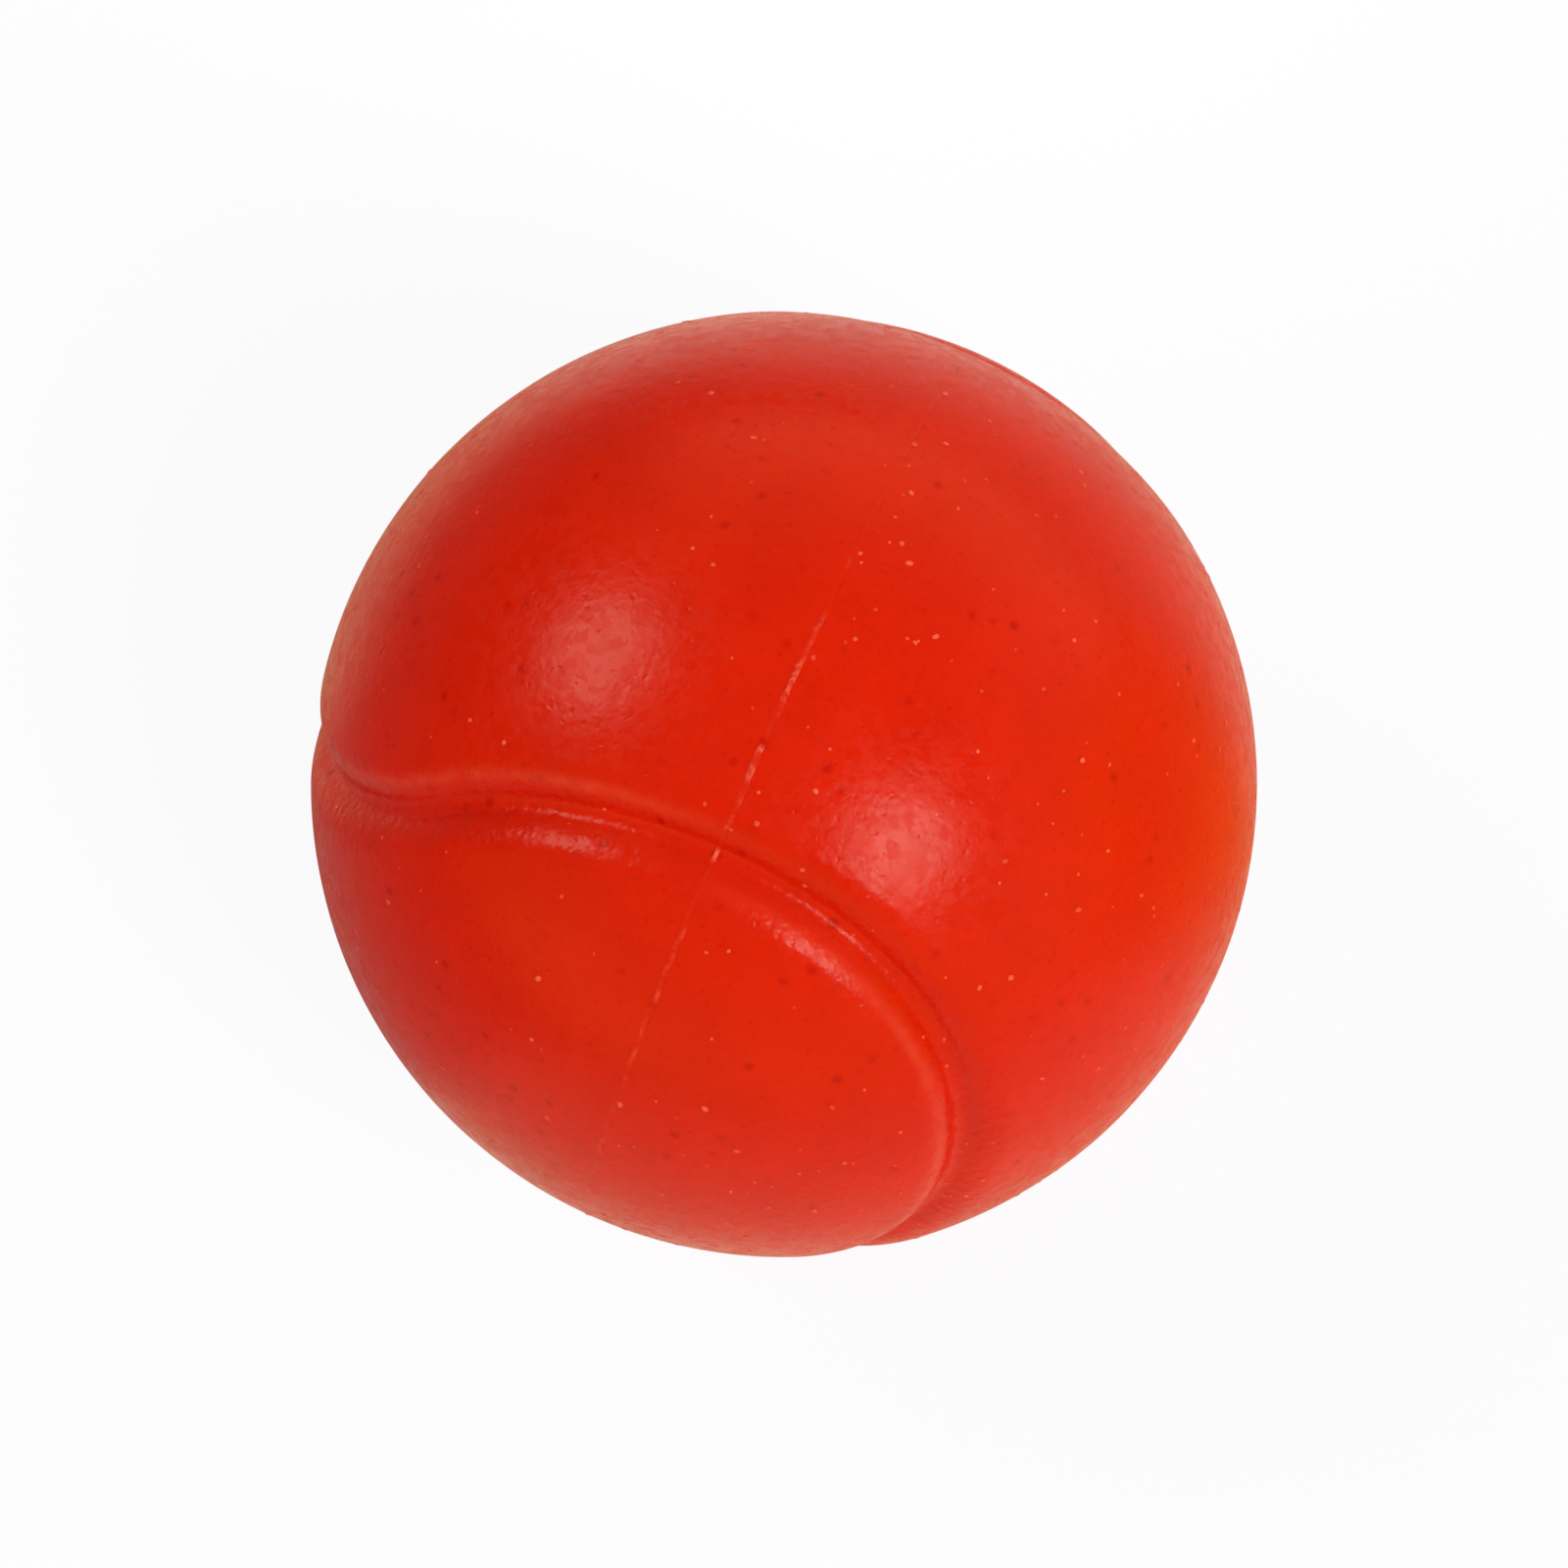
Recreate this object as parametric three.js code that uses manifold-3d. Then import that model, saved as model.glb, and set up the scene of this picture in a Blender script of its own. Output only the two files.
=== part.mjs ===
// A moulded foam play ball with a tennis-style seam groove.
// The mould halves meet in the plane x = 0. Each half leaves a dense skin, the two skins close round a soft
// cellular core, and a thin ring of flash stands where the halves met.
import * as THREE from 'three';
import { mergeVertices } from 'three/addons/utils/BufferGeometryUtils.js';
import Module from 'manifold-3d';

// Driving dimensions, in millimetres
const ballDiameter = 70;
const skinThickness = 1.2;
const bondGap = 0.3; // clearance between the skin and the core that is bonded to it
const seamWidth = 7.4; // across the groove, from lip edge to lip edge
const seamDepth = 1.5;
const seamBottomRadius = 1.1;
const flashWidth = 0.5;
const flashHeight = 0.2; // how far the flash stands proud of the skin

// How the seam pattern sits in the mould, in degrees
const lobeLift = 27; // the front lobe's centre above the horizontal, in the parting plane
const seamTwist = 36.8; // the pattern's turn about that lobe's centre, away from the parting plane
const lobeTuck = 1.14; // how far each lobe's tip is drawn in from a true half circle

// Facet counts
const stepsPerArc = 18;
const bottomSteps = 2;
const lipSteps = 3;
const panelSteps = 6;

// Finishes
const skinColour = 0xdc1c07;
const flashColour = 0xdd4a34;
const coreColour = 0xd2523a;
const skinRoughness = 0.5;
const coreRoughness = 0.95;

const { sin, cos, atan, PI } = Math;
const { degToRad } = THREE.MathUtils;
const up = new THREE.Vector3(0, 0, 1);
const ballRadius = ballDiameter / 2;
const seamArcs = 4;
const arcReach = PI / 4; // each arc is about a half circle of this angular radius round its lobe's centre
const seamPose = new THREE.Euler(degToRad(-lobeLift), degToRad(seamTwist), 0);

const wasm = await Module();
wasm.setup();

// The groove's section from its middle to its lip edge: a concave bottom arc that runs into a convex lip arc
function grooveSection() {
  const halfWidth = seamWidth / 2;
  const wallSlope = 2 * atan(seamDepth / halfWidth);
  const lipRadius = halfWidth / sin(wallSlope) - seamBottomRadius;
  const section = [];
  for (let step = 0; step <= bottomSteps; step++) {
    const slope = wallSlope * step / bottomSteps;
    const rise = seamBottomRadius * (1 - cos(slope));
    section.push({ away: seamBottomRadius * sin(slope), depth: seamDepth - rise });
  }
  for (let step = 1; step <= lipSteps; step++) {
    const slope = wallSlope * (1 - step / lipSteps);
    section.push({ away: halfWidth - lipRadius * sin(slope), depth: lipRadius * (1 - cos(slope)) });
  }
  return section;
}

// Rows of the ball's surface at set distances from the seam, out to the spine in the middle of a panel
function panelRows() {
  const rows = grooveSection();
  const lipEdge = seamWidth / 2;
  const spine = ballRadius * arcReach;
  for (let step = 1; step <= panelSteps; step++) {
    rows.push({ away: lipEdge + (spine - lipEdge) * step / panelSteps, depth: 0 });
  }
  return rows;
}

// Both panels' rows in order, with the distance from the seam negative on the far panel
function ballRows() {
  const near = panelRows();
  const far = near.slice(1).reverse();
  return [...far.map(({ away, depth }) => ({ away: -away, depth })), ...near];
}

// The seam is four half circles, alternately above and below the pattern's equator, so every point of the
// ball is given by its arc, its turn about that arc's lobe centre and its angle away from the seam. The tuck
// draws each lobe in, and dies away at the lobe's ends and at the spines.
function patternDirection(arc, turn, angleAway) {
  const side = arc % 2 === 0 ? 1 : -1;
  const tuck = degToRad(lobeTuck) * cos(turn) * (1 + 2 * sin(turn) ** 2) * cos(2 * angleAway);
  const reach = arcReach + side * angleAway - tuck;
  const direction = new THREE.Vector3(sin(reach) * sin(turn), -cos(reach), side * sin(reach) * cos(turn));
  return direction.applyAxisAngle(up, arc * PI / 2).applyEuler(seamPose);
}

function rowPoints({ away, depth }, inset) {
  const points = [];
  for (let arc = 0; arc < seamArcs; arc++) {
    for (let step = 0; step < stepsPerArc; step++) {
      const turn = PI * (step / stepsPerArc - 1 / 2);
      const direction = patternDirection(arc, turn, away / ballRadius);
      points.push(...direction.multiplyScalar(ballRadius - depth - inset).toArray());
    }
  }
  return points;
}

function gridIndex(rowCount, columns) {
  const index = [];
  for (let row = 0; row + 1 < rowCount; row++) {
    for (let column = 0; column < columns; column++) {
      const next = (column + 1) % columns;
      const [a, b] = [row * columns + column, row * columns + next];
      index.push(a, b, b + columns, a, b + columns, a + columns);
    }
  }
  return index;
}

// Welds shared points and drops the triangles that close up at the spine ends
function welded(geometry) {
  geometry.deleteAttribute('normal');
  geometry.deleteAttribute('uv');
  const merged = mergeVertices(geometry);
  const kept = [];
  const corners = merged.index.array;
  for (let k = 0; k < corners.length; k += 3) {
    const [a, b, c] = corners.slice(k, k + 3);
    if (a !== b && b !== c && c !== a) {
      kept.push(a, b, c);
    }
  }
  merged.setIndex(kept);
  return merged;
}

function solidOf(geometry) {
  const closed = welded(geometry);
  const vertProperties = closed.attributes.position.array;
  const triVerts = Uint32Array.from(closed.index.array);
  return new wasm.Manifold(new wasm.Mesh({ numProp: 3, vertProperties, triVerts }));
}

// The whole seamed ball, its surface set in by the given depth
function seamedBall(inset) {
  const rows = ballRows();
  const geometry = new THREE.BufferGeometry();
  const points = rows.flatMap((row) => rowPoints(row, inset));
  geometry.setAttribute('position', new THREE.Float32BufferAttribute(points, 3));
  geometry.setIndex(gridIndex(rows.length, seamArcs * stepsPerArc));
  return solidOf(geometry);
}

// A block wider than the ball, between two distances from the parting plane
function slab(from, to) {
  const span = 2 * ballDiameter;
  const block = new THREE.BoxGeometry(to - from, span, span);
  return solidOf(block.translate((from + to) / 2, 0, 0));
}

function subPart(name, solid, color, roughness) {
  const { vertProperties, triVerts } = solid.getMesh();
  const geometry = new THREE.BufferGeometry();
  geometry.setAttribute('position', new THREE.BufferAttribute(vertProperties, 3));
  geometry.setIndex(new THREE.BufferAttribute(triVerts, 1));
  geometry.computeVertexNormals();
  const material = new THREE.MeshStandardMaterial({ color, roughness, metalness: 0 });
  const mesh = new THREE.Mesh(geometry, material);
  mesh.name = name;
  return mesh;
}

const cavity = seamedBall(skinThickness);
const skin = seamedBall(0).subtract(cavity);
const edge = flashWidth / 2;

function skinLeft() {
  const half = skin.intersect(slab(-ballDiameter, -edge));
  return subPart('skin_left', half, skinColour, skinRoughness);
}

function skinRight() {
  const half = skin.intersect(slab(edge, ballDiameter));
  return subPart('skin_right', half, skinColour, skinRoughness);
}

function partingFlash() {
  const ring = seamedBall(-flashHeight).subtract(cavity).intersect(slab(-edge, edge));
  return subPart('parting_flash', ring, flashColour, skinRoughness);
}

function foamCore() {
  return subPart('foam_core', seamedBall(skinThickness + bondGap), coreColour, coreRoughness);
}

const ball = new THREE.Group();
ball.add(foamCore(), skinLeft(), skinRight(), partingFlash());

export default ball;
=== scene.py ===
from math import cos, pi, radians, sin, sqrt

import bmesh
import bpy
from mathutils import Matrix, Vector


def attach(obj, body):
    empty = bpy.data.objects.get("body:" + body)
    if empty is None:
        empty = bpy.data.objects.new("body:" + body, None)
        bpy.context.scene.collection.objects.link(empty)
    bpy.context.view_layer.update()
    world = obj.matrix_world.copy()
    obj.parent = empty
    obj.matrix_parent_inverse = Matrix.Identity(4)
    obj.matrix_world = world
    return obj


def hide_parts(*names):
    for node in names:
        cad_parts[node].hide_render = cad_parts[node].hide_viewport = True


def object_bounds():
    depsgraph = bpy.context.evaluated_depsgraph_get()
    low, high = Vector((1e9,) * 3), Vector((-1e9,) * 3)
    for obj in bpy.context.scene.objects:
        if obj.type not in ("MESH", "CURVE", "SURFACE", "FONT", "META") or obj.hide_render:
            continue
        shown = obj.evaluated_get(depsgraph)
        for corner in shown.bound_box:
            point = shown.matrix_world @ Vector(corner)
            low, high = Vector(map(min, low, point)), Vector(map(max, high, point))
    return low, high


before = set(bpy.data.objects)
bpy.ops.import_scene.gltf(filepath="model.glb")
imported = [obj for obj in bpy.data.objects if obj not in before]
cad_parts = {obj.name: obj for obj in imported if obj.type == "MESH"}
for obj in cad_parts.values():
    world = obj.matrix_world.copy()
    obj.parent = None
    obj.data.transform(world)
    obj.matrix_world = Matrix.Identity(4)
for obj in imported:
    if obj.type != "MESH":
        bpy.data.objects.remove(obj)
cad_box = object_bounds()

MM = 0.001

# Sizes of the ball
BALL_RADIUS = 35 * MM
SKIN_THICKNESS = 1.2 * MM
BOND_GAP = 0.3 * MM
SEAM_WIDTH = 7.4 * MM
SEAM_DEPTH = 1.5 * MM
SEAM_BOTTOM_RADIUS = 1.1 * MM
FLASH_WIDTH = 0.5 * MM
FLASH_HEIGHT = 0.2 * MM

# How the seam pattern sits in the mould
LOBE_LIFT = radians(27.0)
SEAM_TWIST = radians(36.8)
LOBE_TUCK = radians(1.14)  # how far each lobe's tip is drawn in from a true half circle
SEAM_ARCS = 4
ARC_REACH = pi / 4

# How finely the shapes are drawn
SKIN_COLUMNS = 480
SKIN_ROWS = 120
GROOVE_ROWS_SHARE = 0.36
FLASH_COLUMNS = 1600
FLASH_ROWS = 24
CORE_SUBDIVISIONS = 7
BEAD_SEGMENTS = 8
BEAD_RINGS = 6
WELD = 1e-6

# Where each part of the flash's section ends, as a share of the rows round it
CREST_END = 0.7
SIDE_END = 0.8
UNDER_END = 0.9

# Unevenness of the skin and the core
NOISE_SPAN = (0.35, 0.65)  # what soft noise mostly lies between
LUMP_SIZE = 7 * MM
LUMP_HEIGHT = 0.06 * MM
# Painted highlight: the groove's lips are painted paler where light would glance off them
LIP_HIGHLIGHT_PLACE = 2.0 * MM  # how far from the groove's middle the painted highlight on its lips lies
LIP_HIGHLIGHT_WIDTH = 0.8 * MM
LIP_HIGHLIGHT_PATCH = 1.3 * MM
LIP_HIGHLIGHT_PATCHINESS = (0.5, 1.5)
LIP_HIGHLIGHT_STRENGTH = 0.14
LIP_HIGHLIGHT_FADE = (-0.3, 0.05)  # where the painted highlight on the lips dies away near the parting plane, in ball radii
CRUMBLE_FADE = 2.4 * MM  # how far from the groove's middle its crumbly finish starts to fade
CRUMBLE_END = 4.0 * MM
CELL_SIZE = 2.4 * MM
CELL_DEPTH = 0.3 * MM
CELL_SPAN = (0.1, 0.6)  # from a hollow cell's floor to its rim, in cell sizes

# Breaks, knots and wobbles of the flash
DASH_SIZE = 2.6 * MM
DASH_DETAIL = 5.0
DASH_ROUGHNESS = 0.75
DASH_SEED = 27.0
DASH_SPAN = (0.47, 0.61)
KNOT_SIZE = 0.9 * MM
KNOT_SEED = 5.0
KNOT_SPAN = (0.4, 0.62)
KNOT_LOW = 0.3
WOBBLE_SIZE = 1.6 * MM
WOBBLE_DETAIL = 3.0
WOBBLE_SEED = 3.0
FLASH_WANDER = 1.1 * MM
FLASH_FAINT = 0.05
# how pale the flash's dashes are: partly the trim's own paler colour, partly a painted highlight on its crest
FLASH_PALE_AND_HIGHLIGHT = 0.75
FRONT_FADE = (-0.85, -0.3)  # where the flash grows to its full height along Y, in ball radii
FRONT_HEIGHT = 0.35
BACK_FADE = (0.06, 0.24)  # where it fades again
BACK_HEIGHT = 0.12
NUB_HEIGHT = 0.25 * MM
NUB_START = 0.93  # the share of the groove's depth from which a nub stands on the flash
CREST_SHARPNESS = 2
PALE_AND_HIGHLIGHT_SHARPNESS = 4

# Blisters
BLISTERS_LEFT = 20000  # on a square metre
BLISTERS_RIGHT = 60000
BLISTER_PATCH = 11 * MM
BLISTER_PATCHINESS = (0.6, 1.4)
BLISTER_SMALLEST = 0.12 * MM
BLISTER_LARGEST = 0.28 * MM
BLISTER_FLATNESS = 0.2
BLISTER_STRETCH = (0.8, 1.3)
BLISTER_STRENGTH = (0.3, 1.0)
BLISTER_SEED = 5
BEAD_LUMP = 1.0  # the size of the unevenness on a bead, in bead radii
SIZE_DRAW, STRETCH_DRAW, TURN_DRAW, STRENGTH_DRAW = range(1, 5)

# Names of the numbers that the shapes keep for their finishes
# carries the painted highlights on the lips, the flash's crest and the blisters' tops, with their own paler
# colour
PALE_AND_HIGHLIGHT_MARK = "pale"
STRENGTH_MARK = "strength"
CRUMBLE_MARK = "crumble"

# Where the photograph was taken from: nearly overhead, through a long lens
VIEW_AZIMUTH = radians(24.4)
VIEW_ELEVATION = radians(80.4)
VIEW_DISTANCE = 0.42
SENSOR_WIDTH = 36
OUTLINE_SHARE = 482.7 / 800  # the ball's outline against half the picture's width
NEAR_CLIP = 0.01

# Colours
SKIN_RED = (0.73, 0.0155, 0.002)
DEEP_RED = (0.68, 0.0135, 0.002)
# pale tint: painted highlight on the lips; painted highlight and own paler colour on the flash and blisters
PALE_AND_HIGHLIGHT_RED = (0.98, 0.17, 0.13)
# painted shade that darkens the skin's pores
PORE_SHADE_RED = (0.50, 0.002, 0.001)
CORE_RED = (0.64, 0.085, 0.042)
# a deeper tone for the core's clouds, and painted shade for its hollows
CORE_DEEP_AND_SHADE_RED = (0.40, 0.03, 0.015)
FLOOR_WHITE = (0.83, 0.79, 0.86)
FLOOR_WARM = (0.86, 0.52, 0.10)
FLOOR_DIM = (0.21, 0.18, 0.27)
FLOOR_SHADED = (0.42, 0.36, 0.50)
WHITE = (1.0, 1.0, 1.0)
COOL_WHITE = (0.99, 1.005, 1.035)  # evens out the warm light on the floor

# Finish of the skin
SKIN_ROUGHNESS = 0.27
ROUGHNESS_SPREAD = 0.16
SKIN_SPECULAR = 0.17
CLOUD_SIZE = 8 * MM
CLOUD_DETAIL = 6.0
CLOUD_ROUGHNESS = 0.72
RAGGED_SIZE = 0.6 * MM
RAGGED_DETAIL = 2.0
PORE_SPACING = 1.5 * MM
PORE_SHARE = 0.16
PORE_RADIUS = 0.4  # in spacings
PORE_RAGGEDNESS = 0.45 * MM
PORE_WEAKEST = 0.3
PORE_DEPTH = 0.022 * MM
SMALL_PORE_SPACING = 0.55 * MM
SMALL_PORE_SHARE = 0.2
SMALL_PORE_RADIUS = 0.55
SMALL_PORE_RAGGEDNESS = 0.6 * MM
# how strongly the small pores are darkened with painted shade
SMALL_PORE_SHADE = 0.4
PEEL_SIZE = 0.7 * MM
PEEL_DETAIL = 1.0
PEEL_HEIGHT = 0.029 * MM
LIP_CRUMBLE = 2.0
PATCH_SIZE = 0.8 * MM
PATCH_RAGGEDNESS = 0.8 * MM

# Finish of the core
CORE_ROUGHNESS = 0.95
CORE_PORE_SPACING = 0.8 * MM
CORE_PORE_SHARE = 0.6
CORE_PORE_RADIUS = 0.5
CORE_PORE_DEPTH = 0.1 * MM

# Sides of the studio, as angles in the picture counter-clockwise from its right
ORANGE_SIDE = radians(-2)
BRIGHT_SIDE = radians(50)
SPOT_SIDE = radians(85)
DIM_SIDE = radians(155)
SHADED_SIDE = radians(193)

# Floor
FLOOR_REACH = 8.0
FLOOR_ROUGHNESS = 0.9
FLOOR_WHITENING = 0.9
CONTACT_WHITENING = 0.3
WHITENING_FADE = (0.1, 0.3)
WEDGE_SLOPE = 1.5
WARM_FADE = (0.02, 0.08)
SHADE_FADE = (0.0, 0.03)
DIM_FADE = (0.06, 0.16)

# Room: each wall's side, where its colour fades in and the colour
ROOM_CEILING = (0.26, 0.19, 0.06)
ROOM_WARM = (1.2, 0.86, 0.27)
ROOM_WALLS = (
    (BRIGHT_SIDE, (-0.1, 0.7), (1.5, 1.2, 0.62)),
    (DIM_SIDE, (0.45, 0.95), (0.05, 0.03, 0.02)),
    (ORANGE_SIDE, (0.85, 0.99), (1.7, 0.8, 0.06)),
)
CEILING_FADE = (0.0, 0.9)

# Lamps
LAMP_DISTANCE = 0.9
LEFT_LAMP = {
    "azimuth": radians(-94.3),
    "elevation": radians(41.3),
    "across": 0.42,
    "power": 2.6,
    "colour": (1.0, 0.95, 0.76),
}
RIGHT_LAMP = {
    "azimuth": radians(73.3),
    "elevation": radians(54.1),
    "across": 0.38,
    "power": 3.5,
    "colour": (1.0, 0.93, 0.78),
}
SPOT_OFFSET = 0.11
SPOT_HEIGHT = 0.6
SPOT_CONE = radians(15)
SPOT_POWER = 4.5
SPOT_COLOUR = (0.85, 0.93, 1.0)

# Sockets of the Mix node that deal in colours
MIX_FACTOR = 0
MIX_FIRST = 6
MIX_SECOND = 7
MIX_RESULT = 2


# Node trees

class Value:
    """A number in a node tree. Arithmetic on it adds the nodes that work it out."""

    def __init__(self, tree, socket):
        self.tree = tree
        self.socket = socket

    def math(self, operation, *others):
        node = self.tree.nodes.new("ShaderNodeMath")
        node.operation = operation
        for place, value in zip(node.inputs, (self, *others)):
            join(self.tree, value, place)
        return Value(self.tree, node.outputs[0])

    def __add__(self, other):
        return self.math("ADD", other)

    def __sub__(self, other):
        return self.math("SUBTRACT", other)

    def __mul__(self, other):
        return self.math("MULTIPLY", other)

    def __truediv__(self, other):
        return self.math("DIVIDE", other)

    def __rsub__(self, other):
        return self * -1 + other

    def __rtruediv__(self, other):
        return self.math("POWER", -1) * other

    def __pow__(self, other):
        return self.math("POWER", other)

    __radd__ = __add__
    __rmul__ = __mul__

    def sin(self):
        return self.math("SINE")

    def cos(self):
        return self.math("COSINE")

    def size(self):
        return self.math("ABSOLUTE")

    def root(self):
        return self.math("MAXIMUM", 0).math("SQRT")

    def ramp(self, start, end, low=0.0, high=1.0, smooth=False):
        """Runs from low to high as this number runs from start to end, and stays there beyond."""
        kind = "SMOOTHSTEP" if smooth else "LINEAR"
        values = {"Value": self, "From Min": start, "From Max": end, "To Min": low, "To Max": high}
        node = add(self.tree, "ShaderNodeMapRange", values, interpolation_type=kind)
        return Value(self.tree, node.outputs["Result"])


def join(tree, value, place):
    """Sets an input to a plain value, or links it to the socket that gives it."""
    socket = value.socket if isinstance(value, Value) else value
    if isinstance(socket, bpy.types.NodeSocket):
        tree.links.new(socket, place)
    else:
        place.default_value = socket


def add(tree, kind, values=None, **settings):
    """A node with its settings, and its inputs by name."""
    node = tree.nodes.new(kind)
    for name, setting in settings.items():
        setattr(node, name, setting)
    for name, value in (values or {}).items():
        join(tree, value, node.inputs[name])
    return node


def new_tree(name, kind, inputs, outputs):
    """An empty node group with named inputs, each with its socket type and value, and named outputs."""
    tree = bpy.data.node_groups.new(name, kind)
    for label, (socket_type, value) in inputs.items():
        socket = tree.interface.new_socket(label, in_out="INPUT", socket_type=socket_type)
        if value is not None:
            socket.default_value = value
    for label, socket_type in outputs.items():
        tree.interface.new_socket(label, in_out="OUTPUT", socket_type=socket_type)
    given = tree.nodes.new("NodeGroupInput")
    result = tree.nodes.new("NodeGroupOutput")
    return tree, given.outputs, result.inputs


def number(value):
    return ("NodeSocketFloat", value)


def count(value):
    return ("NodeSocketInt", value)


def combined(tree, x, y, z):
    node = add(tree, "ShaderNodeCombineXYZ", {"X": x, "Y": y, "Z": z})
    return node.outputs[0]


def separated(tree, vector):
    node = add(tree, "ShaderNodeSeparateXYZ", {"Vector": vector})
    return [Value(tree, socket) for socket in node.outputs]


def turned(tree, vector, axis, angle):
    node = add(tree, "ShaderNodeVectorRotate", {"Vector": vector, "Angle": angle}, rotation_type=axis)
    return node.outputs[0]


def scaled(tree, vector, factor):
    node = add(tree, "ShaderNodeVectorMath", {"Vector": vector, "Scale": factor}, operation="SCALE")
    return node.outputs[0]


def along(tree, vector, direction):
    """How far a place lies in a direction."""
    node = add(tree, "ShaderNodeVectorMath", {0: vector, 1: direction}, operation="DOT_PRODUCT")
    return Value(tree, node.outputs["Value"])


def noise(tree, vector, size, detail=2.0, roughness=0.5, seed=0.0):
    """Soft noise about 0 to 1, whose humps are about the given size apart."""
    values = {"Vector": vector, "W": seed, "Scale": 1 / size, "Detail": detail, "Roughness": roughness}
    node = add(tree, "ShaderNodeTexNoise", values, noise_dimensions="4D")
    return Value(tree, node.outputs[0])


def chance(tree, seed, low=0.0, high=1.0):
    """A random number for each point."""
    node = add(tree, "FunctionNodeRandomValue", {"Seed": seed}, data_type="FLOAT")
    return Value(tree, node.outputs["Value"]) * (high - low) + low


# Shapes

SHAPE = {"Geometry": "NodeSocketGeometry"}


def lobe_tuck(turn_cosine):
    """How far the seam is drawn in towards its lobe's centre, by the cosine of the turn about that centre.
    It is the cosine, times one plus twice the squared sine, so it dies away at the lobe's ends."""
    return turn_cosine * (3 - turn_cosine * turn_cosine * 2) * LOBE_TUCK


def seam_groove_group():
    """How deep the seam groove is in a given direction from the ball's centre."""
    inputs = {
        "Direction": ("NodeSocketVector", None),
        "Ball Radius": number(BALL_RADIUS),
        "Groove Width": number(SEAM_WIDTH),
        "Groove Depth": number(SEAM_DEPTH),
        "Bottom Radius": number(SEAM_BOTTOM_RADIUS),
    }
    tree, given, result = new_tree("Seam Groove", "GeometryNodeTree", inputs, {"Depth": "NodeSocketFloat"})
    lowered = turned(tree, given["Direction"], "X_AXIS", LOBE_LIFT)
    x, y, z = separated(tree, turned(tree, lowered, "Y_AXIS", -SEAM_TWIST))
    above = z.math("GREATER_THAN", 0)
    reach = (above * y.size() + (1 - above) * x.size()).math("ARCCOSINE")
    tuck = lobe_tuck(z.size() / reach.sin())
    away = (reach - ARC_REACH + tuck).size() * Value(tree, given["Ball Radius"])

    half = Value(tree, given["Groove Width"]) / 2
    depth = Value(tree, given["Groove Depth"])
    bottom = Value(tree, given["Bottom Radius"])
    wall_slope = (depth / half).math("ARCTANGENT") * 2
    lip = half / wall_slope.sin() - bottom
    short = (half - away).math("MAXIMUM", 0)
    on_bottom = away.math("LESS_THAN", bottom * wall_slope.sin())
    bottom_arc = depth - bottom + (bottom * bottom - away * away).root()
    lip_arc = lip - (lip * lip - short * short).root()
    join(tree, on_bottom * bottom_arc + (1 - on_bottom) * lip_arc, result["Depth"])
    return tree


def groove_depth(tree, groove, direction):
    node = add(tree, "GeometryNodeGroup", {"Direction": direction}, node_tree=groove)
    return Value(tree, node.outputs["Depth"])


def grid_share(tree, columns, rows):
    """A flat grid, and how far along and up it each point lies, from 0 to 1."""
    values = {"Size X": 1.0, "Size Y": 1.0, "Vertices X": columns + 1, "Vertices Y": rows + 1}
    grid = add(tree, "GeometryNodeMeshGrid", values)
    position = tree.nodes.new("GeometryNodeInputPosition")
    x, y, _ = separated(tree, position.outputs[0])
    return grid.outputs["Mesh"], x + 0.5, y + 0.5


def marked(tree, geometry, name, value, domain="POINT"):
    """The geometry with a number kept on its points, or on its instances, under a name."""
    values = {"Geometry": geometry, "Name": name, "Value": value}
    node = add(tree, "GeometryNodeStoreNamedAttribute", values, data_type="FLOAT", domain=domain)
    return node.outputs[0]


def mark(tree, name):
    """The number that was kept under a name."""
    node = add(tree, "GeometryNodeInputNamedAttribute", {"Name": name}, data_type="FLOAT")
    return Value(tree, node.outputs["Attribute"])


def finish_shape(tree, mesh, place, material, result):
    """Moves the points to their places, welds the closing edges and gives the shape its material."""
    moved = add(tree, "GeometryNodeSetPosition", {"Geometry": mesh, "Position": place})
    welded = add(tree, "GeometryNodeMergeByDistance", {"Geometry": moved.outputs[0], "Distance": WELD})
    smooth = add(tree, "GeometryNodeSetShadeSmooth", {"Geometry": welded.outputs[0]})
    real = add(tree, "GeometryNodeRealizeInstances", {"Geometry": smooth.outputs[0]})
    dressed = add(tree, "GeometryNodeSetMaterial", {"Geometry": real.outputs[0], "Material": material})
    join(tree, dressed.outputs[0], result["Geometry"])


def seam_direction(tree, across, away, share):
    """The direction of a place from the ball's centre, by how far along the seam it lies, from 0 to 1, its
    angle away from the seam, and a number whose sign tells the panel."""
    arc = (across * SEAM_ARCS).math("FLOOR").math("MINIMUM", SEAM_ARCS - 1)
    turn = (across * SEAM_ARCS - arc - 0.5) * pi
    side = 1 - arc.math("MODULO", 2) * 2
    reach = away * share.math("SIGN") * side + ARC_REACH - lobe_tuck(turn.cos()) * (away * 2).cos()
    x = reach.sin() * turn.sin()
    z = reach.sin() * turn.cos() * side
    on_arc = combined(tree, x, reach.cos() * -1, z)
    pattern = turned(tree, on_arc, "Z_AXIS", arc * (pi / 2))
    twisted = turned(tree, pattern, "Y_AXIS", SEAM_TWIST)
    return turned(tree, twisted, "X_AXIS", -LOBE_LIFT)


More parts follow.
